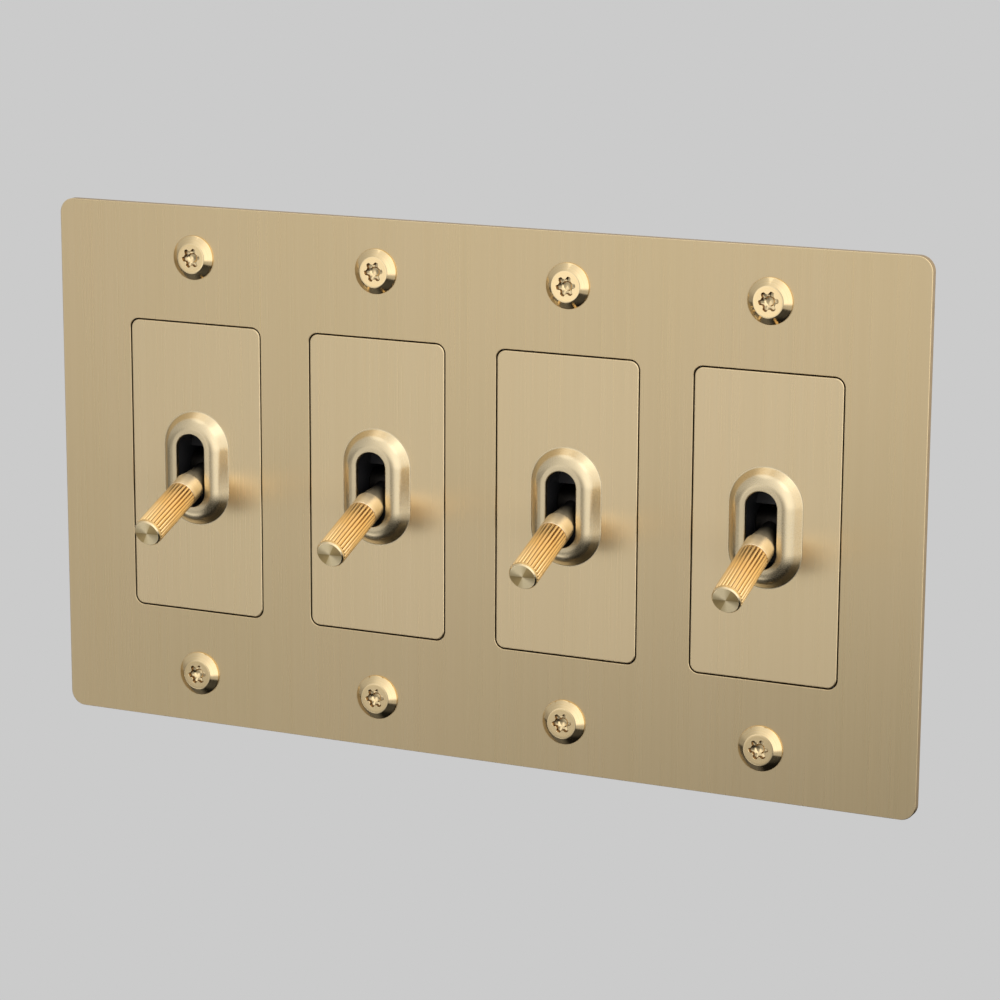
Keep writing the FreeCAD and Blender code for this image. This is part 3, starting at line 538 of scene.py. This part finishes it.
# The collar material also paints the neck's shade inside the slot.
collar_brass = turned_brass("collar_brass", BRASS_LIGHT, 0.34, 0.85, False, 2600.0, 0.04)
grip_brass = grooved_brass("grip_brass", (0.97, 0.68, 0.31), (0.26, 0.12, 0.03))
cap_brass = radial_brass("cap_brass", (1.0, 0.84, 0.53), (0.82, 0.66, 0.36), (0.54, 0.39, 0.165))
rim_brass = polished_metal("rim_brass", BRASS_PALE, 0.18, BRASS)
# Painted shade: near black for the lever's tail and hub, deep inside the switch.
inner_shade_black = polished_metal("painted_shade_black", (0.020, 0.018, 0.016), 0.5, (0.05, 0.045, 0.04))
screw_brass = turned_brass("screw_brass", (0.84, 0.63, 0.33), 0.12, 0.35, True, 4200.0, 0.03)
# Painted shade: a dark brown for the walls of the screw recesses.
recess_wall_shade = polished_metal("recess_wall_shade", (0.30, 0.19, 0.09), 0.28, (0.18, 0.10, 0.04))
zinc = polished_metal("zinc_plate", (0.60, 0.60, 0.62), 0.28, (0.42, 0.42, 0.45))
screw_zinc = threaded_zinc("threaded_zinc", (0.60, 0.60, 0.62), 5.0 * MM)
pin_steel = polished_metal("ground_steel", (0.55, 0.55, 0.56), 0.2, (0.4, 0.4, 0.4))
spring_steel = polished_metal("spring_wire", (0.42, 0.42, 0.44), 0.3, (0.3, 0.3, 0.32))
green_zinc = polished_metal("green_dye", (0.06, 0.30, 0.12), 0.3, (0.10, 0.42, 0.20))
terminal_brass = polished_metal("terminal_brass", (0.78, 0.58, 0.30), 0.22, (0.62, 0.42, 0.20))
strip_brass = rolled_strip("rolled_brass", (0.72, 0.52, 0.27))
black_front = moulding("black_front_moulding", (0.012, 0.012, 0.014), 0.42)
black_back = moulding("black_back_moulding", (0.022, 0.022, 0.024), 0.5)
nylon = moulding("white_nylon", (0.70, 0.68, 0.62), 0.45)


def paint_node(node, material):
    """Swap a CAD node's materials for one of these."""
    slots = frame["nodes"][node].data.materials
    slots.clear()
    slots.append(material)


# ---------------------------------------------------------------- cover plate


def add_outline(curve, ring):
    spline = curve.splines.new("POLY")
    spline.points.add(len(ring) - 1)
    spline.use_cyclic_u = True
    for point, (x, z) in zip(spline.points, ring):
        point.co = (x, z, 0.0, 1.0)


def hole_ring(x, z, radius):
    turns = [math.tau * i / HOLE_STEPS for i in range(HOLE_STEPS)]
    return [(x + radius * math.cos(turn), z + radius * math.sin(turn)) for turn in turns]


def make_cover_plate():
    """A sheet with four windows and eight screw holes, all with eased edges."""
    curve = bpy.data.curves.new("cover_plate_outline", "CURVE")
    curve.dimensions = "2D"
    curve.fill_mode = "BOTH"
    curve.bevel_depth = PLATE_EDGE
    curve.bevel_resolution = 3
    curve.offset = -PLATE_EDGE
    curve.extrude = plate_size.y / 2 - PLATE_EDGE
    add_outline(curve, box_ring(plate_size.x, plate_size.z, PLATE_CORNER))
    window = box_ring(panel_size.x + 2 * WINDOW_GAP, panel_size.z + 2 * WINDOW_GAP, WINDOW_CORNER)
    for x in gang_x:
        add_outline(curve, [(x + px, pz) for px, pz in window])
        add_outline(curve, hole_ring(x, SCREW_RISE, SCREW_HOLE))
        add_outline(curve, hole_ring(x, -SCREW_RISE, SCREW_HOLE))
    source = bpy.data.objects.new("cover_plate_source", curve)
    bpy.context.scene.collection.objects.link(source)
    shape = source.evaluated_get(bpy.context.evaluated_depsgraph_get())
    mesh = bpy.data.meshes.new_from_object(shape)
    bpy.data.objects.remove(source)
    mesh.materials.clear()
    mesh.transform(facing(0, plate_mid.y, 0))
    for face in mesh.polygons:
        inside = (abs(face.center.x) < plate_size.x / 2 - MM
                  and abs(face.center.z) < plate_size.z / 2 - MM)
        # Painted shade: window walls take the dark wall colour, outer side walls the darker edge
        # brass.
        if abs(face.normal.y) < STEEP:
            face.material_index = 1 if inside else 2
    plate = finish_mesh("cover_plate", mesh, [brushed, wall_shade, outer_edge_shade])
    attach(plate, "housing")
    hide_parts("front_plate")


# ---------------------------------------------------------------- switch panels


def boss_rings(x):
    """The raised ring from panel to slot: concave foot, slope, round crown and flat land."""
    rings = []
    steps = 12
    rise = FRONT - BOSS_FRONT
    spread = (BOSS_WIDTH - SLOT_WIDTH) / 2 - BOSS_LAND
    sine, cosine = math.sin(BOSS_SLOPE), math.cos(BOSS_SLOPE)
    crown = (spread * sine - rise * cosine) / (1 - cosine) - BOSS_FOOT

    def ring(reach, height):
        """An outline that stands reach outside the slot, at a height over the panel."""
        outline = stadium_ring(SLOT_WIDTH + 2 * reach, SLOT_HEIGHT + 2 * reach)
        rings.append(at_depth(outline, x, FRONT - height))

    ring(BOSS_LAND + spread + SUPPORT, 0)
    for i in range(steps + 1):
        turn = BOSS_SLOPE * i / steps
        ring(BOSS_LAND + spread - BOSS_FOOT * math.sin(turn), BOSS_FOOT * (1 - math.cos(turn)))
    for i in range(steps * 2 + 1):
        turn = BOSS_SLOPE * (1 - i / (steps * 2))
        ring(BOSS_LAND + crown * math.sin(turn), rise - crown * (1 - math.cos(turn)))
    ring(SLOT_EDGE + SUPPORT, rise)
    ring(SLOT_EDGE, rise)
    ring(SLOT_EDGE / 3, rise - SLOT_EDGE / 3)
    ring(0, rise - SLOT_EDGE)
    return rings


def make_panel(gang, x):
    """The panel as one closed skin: face, raised ring, slot, and the tray at its back."""
    width, height = panel_size.x, panel_size.z
    outer = box_ring(width, height, PANEL_CORNER)
    inner = box_ring(width - 2 * PANEL_RIM, height - 2 * PANEL_RIM, PANEL_CORNER / 2)
    inset = 2 * PANEL_EDGE
    face = box_ring(width - inset, height - inset, PANEL_CORNER - PANEL_EDGE)
    middle = box_ring(width - inset / 2, height - inset / 2, PANEL_CORNER - PANEL_EDGE / 2)
    support = box_ring(width - inset - 2 * SUPPORT, height - inset - 2 * SUPPORT,
                       PANEL_CORNER - PANEL_EDGE)
    reach = 1.8 * WINDOW_GAP
    flange = box_ring(width + reach, height + reach, PANEL_CORNER + reach / 2)
    loops = [
        at_depth(outer, x, TRAY_BACK),
        at_depth(flange, x, plate_high.y),
        at_depth(flange, x, plate_high.y - FLANGE),
        at_depth(outer, x, plate_high.y - 1.5 * FLANGE),
        at_depth(outer, x, FRONT + PANEL_EDGE),
        at_depth(middle, x, FRONT + PANEL_EDGE * 0.3),
        at_depth(face, x, FRONT),
        at_depth(support, x, FRONT),
    ]
    flat_bands = len(loops)
    loops += boss_rings(x)
    lip = BOSS_FRONT + BOSS_LIP
    pocket = stadium_ring(SLOT_WIDTH + 2 * POCKET_STEP, SLOT_HEIGHT + 2 * POCKET_STEP)
    loops += [
        at_depth(stadium_ring(SLOT_WIDTH, SLOT_HEIGHT), x, lip),
        at_depth(pocket, x, lip),
        at_depth(pocket, x, 0.0),
        at_depth(inner, x, 0.0),
        at_depth(inner, x, TRAY_BACK),
    ]
    # Painted shade: the panel's sides, the slot's pocket and the tray take the dark wall colour.
    inside_bands = 5
    side_bands = 4
    boss_bands = len(loops) - flat_bands - inside_bands
    paint = [2] * side_bands + [0] * (flat_bands - side_bands)
    paint += [1] * boss_bands + [2] * inside_bands
    panel = build(f"panel_{gang}", [skin(loops, closed=True, paint=paint)],
                  [panel_brass, satin, wall_shade])
    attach(panel, "housing")
    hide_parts(f"insert_panel_{gang}")


# ---------------------------------------------------------------- levers


def lever_place(x):
    """The lever's own +Z runs from its pivot to its tip, which points down in front at rest."""
    tilt = Matrix.Rotation(math.radians(90) + THROW_HALF, 4, "X")
    return Matrix.Translation((x, PIVOT_Y, 0)) @ tilt


def make_stem(gang, x):
    """Tail with its bore, hub, tapered neck and collar."""
    shoulder = 0.45 * MM
    edge = 0.15 * MM
    tail = [
        (BORE_RADIUS, -2.0 * MM, 0),
        (BORE_RADIUS, -TAIL_END, edge),
        (TAIL_RADIUS, -TAIL_END, edge * 2),
        (TAIL_RADIUS, -1.0 * MM, 0),
    ]
    steps = 10
    neck = [(NECK_BACK + (NECK_FRONT - NECK_BACK) * (i / steps) ** NECK_CURVE,
             COLLAR_START * i / steps, 0) for i in range(1, steps)]
    neck += [
        (NECK_FRONT, COLLAR_START, shoulder / 4),
        (COLLAR_RADIUS, COLLAR_START + shoulder, shoulder / 3),
        (COLLAR_RADIUS, GRIP_START, edge),
        (COLLAR_RADIUS - 3 * edge, GRIP_START, 0),
        (COLLAR_RADIUS / 2, GRIP_START, 0),
    ]
    hub_edge = 0.35 * MM
    hub_profile = soften([(0.2 * MM, -HUB_HALF, 0), (HUB_RADIUS, -HUB_HALF, hub_edge),
                          (HUB_RADIUS, HUB_HALF, hub_edge), (0.2 * MM, HUB_HALF, 0)])
    hub = [[(z, px, py) for px, py, z in ring] for ring in turned(hub_profile)]
    tail = turned(soften(tail))
    # The tail and hub take the near-black painted shade.
    shells = [
        skin(tail, paint=[1] * len(tail)),
        skin(turned(soften(neck))),
        skin(hub, paint=[1] * len(hub)),
    ]
    stem = build(f"stem_{gang}", shells, [collar_brass, inner_shade_black])
    placed(stem, lever_place(x), f"toggle_{gang}")
    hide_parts(f"toggle_stem_{gang}")


def ridged_ring(outer, depth, z):
    """A ring with broad round ridges and narrow grooves between them."""
    per_ridge = 12
    points = []
    for i in range(RIDGES * per_ridge):
        turn = math.tau * i / (RIDGES * per_ridge)
        groove = (1 - abs(math.cos(turn * RIDGES / 2))) ** GROOVE_CURVE
        radius = outer - depth * groove
        points.append((radius * math.cos(turn), radius * math.sin(turn), z))
    return points


def make_grip(gang, x):
    """The ridged sleeve, with its ridges chamfered at both ends."""
    ease = 0.12 * MM
    low = RIDGE_OUT - RIDGE_DEPTH
    loops = [
        ridged_ring(low - 0.5 * MM, 0.0, GRIP_START),
        ridged_ring(low, 0.0, GRIP_START),
        ridged_ring(RIDGE_OUT - 0.08 * MM, RIDGE_DEPTH * 0.75, GRIP_START + ease * 0.6),
        ridged_ring(RIDGE_OUT, RIDGE_DEPTH, GRIP_START + ease),
        ridged_ring(RIDGE_OUT, RIDGE_DEPTH, GRIP_END - ease),
        ridged_ring(RIDGE_OUT - 0.08 * MM, RIDGE_DEPTH * 0.75, GRIP_END - ease * 0.6),
        ridged_ring(low, 0.0, GRIP_END),
        ridged_ring(low - 0.5 * MM, 0.0, GRIP_END),
    ]
    grip = build(f"grip_{gang}", [skin(loops)], [grip_brass], math.radians(50))
    placed(grip, lever_place(x), f"toggle_{gang}")
    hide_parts(f"toggle_grip_{gang}")


def make_cap(gang, x):
    """The end cap: a turned disc with an eased edge."""
    top = GRIP_END + CAP_THICK
    profile = soften([
        (0.5 * MM, GRIP_END - 0.02 * MM, 0),
        (CAP_RADIUS, GRIP_END - 0.02 * MM, 0.05 * MM),
        (CAP_RADIUS, top - 0.30 * MM, 0.05 * MM),
        (CAP_RADIUS - 0.27 * MM, top, 0.04 * MM),
        (0.04 * MM, top, 0),
    ])
    loops = turned(profile, 96)
    paint = [1] * (len(loops) - 2) + [0] * 2
    cap = build(f"end_cap_{gang}", [skin(loops, paint=paint)], [cap_brass, rim_brass],
                math.radians(25))
    placed(cap, lever_place(x), f"toggle_{gang}")
    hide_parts(f"toggle_cap_{gang}")


# ---------------------------------------------------------------- screws


def recess_ring(scale, z, steps):
    """A six-lobed outline."""
    points = []
    for i in range(steps):
        turn = math.tau * i / steps
        wave = math.cos(RECESS_LOBES * turn)
        lobe = math.tanh(RECESS_FLATNESS * wave) / math.tanh(RECESS_FLATNESS)
        radius = (RECESS_MEAN + RECESS_SWING * lobe) * MM * scale
        points.append((radius * math.cos(turn), radius * math.sin(turn), z))
    return points


def thread_shell(radius, start, stop, steps=32):
    """A threaded shank from start to stop along Z."""
    rows = int(abs(stop - start) / THREAD_PITCH * 8)
    loops = []
    for row in range(rows + 1):
        z = start + (stop - start) * row / rows
        fade = min(1.0, row / 6, (rows - row) / 6)
        ring = []
        for i in range(steps):
            part = (z / THREAD_PITCH - i / steps) % 1.0
            crest = 1 - abs(2 * part - 1)
            turn = math.tau * i / steps
            depth = radius - THREAD_DEPTH * (1 - crest * fade)
            ring.append((depth * math.cos(turn), depth * math.sin(turn), z))
        loops.append(ring)
    return skin(loops)


def make_plate_screws():
    """Button heads with a coned side and a six-lobed recess, on threaded shanks."""
    steps = 96
    outside = soften([
        (1.5 * MM, 0.0, 0),
        (HEAD_RADIUS, 0.0, 0.05 * MM),
        (HEAD_RADIUS, HEAD_BAND, 0.12 * MM),
        (HEAD_TOP, HEAD_RISE, 0.12 * MM),
        (2.9 * MM, HEAD_RISE, 0),
    ])
    loops = turned(outside, steps)
    head_bands = len(loops)
    loops.append(recess_ring(1.03, HEAD_RISE, steps))
    loops.append(recess_ring(1.0, HEAD_RISE - 0.05 * MM, steps))
    loops.append(recess_ring(0.96, HEAD_RISE - 0.80 * MM, steps))
    loops.append(recess_ring(0.88, HEAD_RISE - 0.84 * MM, steps))
    loops.append(circle(1.15 * MM, HEAD_RISE - 0.90 * MM, steps))
    loops.append(circle(0.85 * MM, HEAD_RISE - 1.15 * MM, steps))
    loops.append(circle(0.05 * MM, HEAD_RISE - 1.25 * MM, steps))
    # Painted shade on the recess walls; the recess floor keeps the pale head brass.
    paint = [0] * (head_bands + 1) + [1] * 2 + [0] * 3
    shells = [skin(loops, paint=paint), thread_shell(SHANK_RADIUS, 0.0, -SHANK_LENGTH)]
    first = build("cover_screw_1", shells, [screw_brass, recess_wall_shade], math.radians(30))
    places = [(x, SCREW_RISE * side) for x in gang_x for side in (1, -1)]
    for number, (x, z) in enumerate(places, 1):
        screw = first
        if number > 1:
            screw = bpy.data.objects.new(f"cover_screw_{number}", first.data)
            bpy.context.scene.collection.objects.link(screw)
        placed(screw, facing(x, FRONT, z, RECESS_TURN))
        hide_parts("plate_screws")


# ---------------------------------------------------------------- the CAD nodes that stay


def paint_frame():
    fixed = {"box_screws": screw_zinc, "panel_screws": zinc, "body_rivets": zinc,
             "terminal_screws": terminal_brass, "ground_screws": green_zinc}
    for node, material in fixed.items():
        paint_node(node, material)
    per_gang = {"yoke": zinc, "front_frame": black_front, "back_body": black_back,
                "pivot_pin": pin_steel, "plunger": nylon, "plunger_spring": spring_steel,
                "contact_rocker": strip_brass, "common_terminal": strip_brass,
                "switched_terminal": strip_brass}
    for gang in GANGS:
        for stem, material in per_gang.items():
            paint_node(f"{stem}_{gang}", material)


make_cover_plate()
for gang, x in zip(GANGS, gang_x):
    make_panel(gang, x)
    make_stem(gang, x)
    make_grip(gang, x)
    make_cap(gang, x)
make_plate_screws()
paint_frame()


# ---------------------------------------------------------------- light, floor and camera


# The camera alone sees the backdrop and floor; the metal reflects the studio. Its brightness is
# given as (place, level) stops along a direction's X, Y or Z: a front panel that fades up into
# the sky, and below the tilted edge a dark region with a glow on the left.
BACKDROP = 0.597
FLOOR_DROP = 0.45
FLOOR_REACH = 30.0
EDGE_TILT = 0.17
EDGE_LOW = -0.42
EDGE_HIGH = -0.34
HIGH_ACROSS = [(-1.0, 0.32), (-0.75, 0.26), (-0.58, 0.28), (-0.46, 1.10), (-0.34, 1.22),
               (-0.24, 0.42), (-0.05, 0.40), (0.2, 0.80), (0.45, 1.35), (0.8, 1.40), (1.0, 1.15)]
HIGH_UP = [(-1.0, 0.38), (-0.33, 0.38), (-0.27, 0.56), (-0.20, 1.0), (-0.12, 1.04), (1.0, 1.04)]
SKY_ACROSS = [(-1.0, 0.50), (-0.6, 0.66), (-0.3, 0.90), (0.1, 1.05), (0.45, 1.35), (0.8, 1.40),
              (1.0, 1.15)]
SKY_LOW = -0.08
SKY_HIGH = 0.20
LOW_ACROSS = [(-1.0, 0.5), (-0.60, 1.18), (-0.38, 1.18), (-0.12, 0.08), (1.0, 0.04)]
LOW_FORWARD = [(-1.0, 0.32), (-0.78, 0.32), (-0.64, 1.0), (-0.51, 1.0), (-0.41, 0.10), (1.0, 0.10)]


def ramp_stops(ramp, stops):
    """Grey stops on a colour ramp, each (place, brightness)."""
    elements = ramp.elements
    while len(elements) > 1:
        elements.remove(elements[-1])
    elements[0].position = stops[0][0]
    elements[0].color = (*[stops[0][1]] * 3, 1.0)
    for place, level in stops[1:]:
        stop = elements.new(place)
        stop.color = (level, level, level, 1.0)


def make_world():
    """A soft studio: bright sky, bright panel in front, dark low region with a glow on the left."""
    world = bpy.data.worlds.new("studio")
    bpy.context.scene.world = world
    world.use_nodes = True
    tree = world.node_tree
    tree.nodes.clear()

    def node(kind, links):
        made = tree.nodes.new(kind)
        for socket, source in links.items():
            if isinstance(source, bpy.types.NodeSocket):
                tree.links.new(source, made.inputs[socket])
            else:
                made.inputs[socket].default_value = source
        return made

    place = tree.nodes.new("ShaderNodeTexCoord").outputs["Generated"]
    parts = node("ShaderNodeSeparateXYZ", {"Vector": place})

    def ramp_along(value, stops):
        shift = node("ShaderNodeMapRange", {"Value": value, "From Min": -1.0})
        ramp = node("ShaderNodeValToRGB", {"Fac": shift.outputs["Result"]})
        ramp_stops(ramp.color_ramp, [((where + 1) / 2, level) for where, level in stops])
        return ramp.outputs["Color"]

    def product(first, second):
        made = tree.nodes.new("ShaderNodeVectorMath")
        made.operation = "MULTIPLY"
        tree.links.new(first, made.inputs[0])
        tree.links.new(second, made.inputs[1])
        return made.outputs["Vector"]

    def mixed(value, start, stop, first, second):
        """The first colour up to where value reaches start, the second from stop on."""
        over = node("ShaderNodeMapRange", {"Value": value, "From Min": start, "From Max": stop})
        over.interpolation_type = "SMOOTHSTEP"
        mix = tree.nodes.new("ShaderNodeMix")
        mix.data_type = "RGBA"
        for socket, source in (("Factor", over.outputs["Result"]), ("A", first), ("B", second)):
            tree.links.new(source, mix.inputs[socket])
        return mix.outputs["Result"]

    side, depth, height = parts.outputs["X"], parts.outputs["Y"], parts.outputs["Z"]
    front = product(ramp_along(side, HIGH_ACROSS), ramp_along(height, HIGH_UP))
    high = mixed(height, SKY_LOW, SKY_HIGH, front, ramp_along(side, SKY_ACROSS))
    low = product(ramp_along(side, LOW_ACROSS), ramp_along(depth, LOW_FORWARD))
    tilt = node("ShaderNodeMath", {0: side, 1: EDGE_TILT, 2: height})
    tilt.operation = "MULTIPLY_ADD"
    seen = mixed(tilt.outputs["Value"], EDGE_LOW, EDGE_HIGH, low, high)
    studio = node("ShaderNodeBackground", {"Color": seen})
    plain = node("ShaderNodeBackground", {"Color": (BACKDROP, BACKDROP, BACKDROP, 1.0)})
    rays = tree.nodes.new("ShaderNodeLightPath")
    mix = node("ShaderNodeMixShader", {0: rays.outputs["Is Camera Ray"],
                                       1: studio.outputs["Background"],
                                       2: plain.outputs["Background"]})
    node("ShaderNodeOutputWorld", {"Surface": mix.outputs["Shader"]})


def softbox(name, direction, distance, width, height, radiance):
    """A rectangular light that looks at the middle of the plate."""
    light = bpy.data.lights.new(name, "AREA")
    light.shape = "RECTANGLE"
    light.size = width
    light.size_y = height
    light.energy = radiance * math.pi * width * height
    lamp = bpy.data.objects.new(name, light)
    bpy.context.scene.collection.objects.link(lamp)
    toward = Vector(direction).normalized()
    lamp.location = toward * distance
    lamp.rotation_mode = "QUATERNION"
    lamp.rotation_quaternion = toward.to_track_quat("Z", "Y")


def make_floor():
    """A pale floor far below, seen only by the camera, so that it stays one even grey."""
    mesh = bpy.data.meshes.new("floor")
    reach = FLOOR_REACH
    low = plate_low.z - FLOOR_DROP
    corners = [(-reach, -reach, low), (reach, -reach, low), (reach, reach, low),
               (-reach, reach, low)]
    mesh.from_pydata(corners, [], [(0, 1, 2, 3)])
    material = bpy.data.materials.new("pale_floor")
    material.use_nodes = True
    tree = material.node_tree
    tree.nodes.clear()
    glow = tree.nodes.new("ShaderNodeEmission")
    glow.inputs["Color"].default_value = (BACKDROP, BACKDROP, BACKDROP, 1.0)
    output = tree.nodes.new("ShaderNodeOutputMaterial")
    tree.links.new(glow.outputs["Emission"], output.inputs["Surface"])
    mesh.materials.append(material)
    floor = bpy.data.objects.new("floor", mesh)
    bpy.context.scene.collection.objects.link(floor)
    for kind in ("glossy", "diffuse", "transmission", "shadow"):
        setattr(floor, f"visible_{kind}", False)


def make_camera(azimuth, elevation, roll, distance, aim_right, aim_up, lens):
    """A camera round the centre of the plate's front, looking a little beside that centre."""
    turn, lift = math.radians(azimuth), math.radians(elevation)
    level = math.cos(lift)
    back = Vector((math.sin(turn) * level, -math.cos(turn) * level, math.sin(lift)))
    data = bpy.data.cameras.new("camera")
    data.sensor_width = 36.0
    data.lens = lens
    data.clip_start = 0.01
    data.clip_end = 100.0
    camera = bpy.data.objects.new("camera", data)
    bpy.context.scene.collection.objects.link(camera)
    camera.rotation_mode = "QUATERNION"
    level_look = (-back).to_track_quat("-Z", "Y").to_matrix()
    look = level_look @ Matrix.Rotation(math.radians(roll), 3, "Z")
    camera.rotation_quaternion = look.to_quaternion()
    aim = Vector((0, FRONT, 0)) + look.col[0] * aim_right + look.col[1] * aim_up
    camera.location = aim + back * distance
    bpy.context.scene.camera = camera


make_world()
softbox("softbox_above", (-0.25, -0.15, 0.95), distance=1.2, width=0.9, height=0.6, radiance=0.4)
softbox("softbox_right", (0.60, -0.30, 0.74), distance=1.2, width=0.6, height=0.6, radiance=0.5)
make_floor()
make_camera(azimuth=24.96, elevation=12.47, roll=0.27, distance=0.7299,
            aim_right=0.00657, aim_up=-0.00067, lens=119.66)
bpy.context.scene.view_settings.view_transform = "Standard"
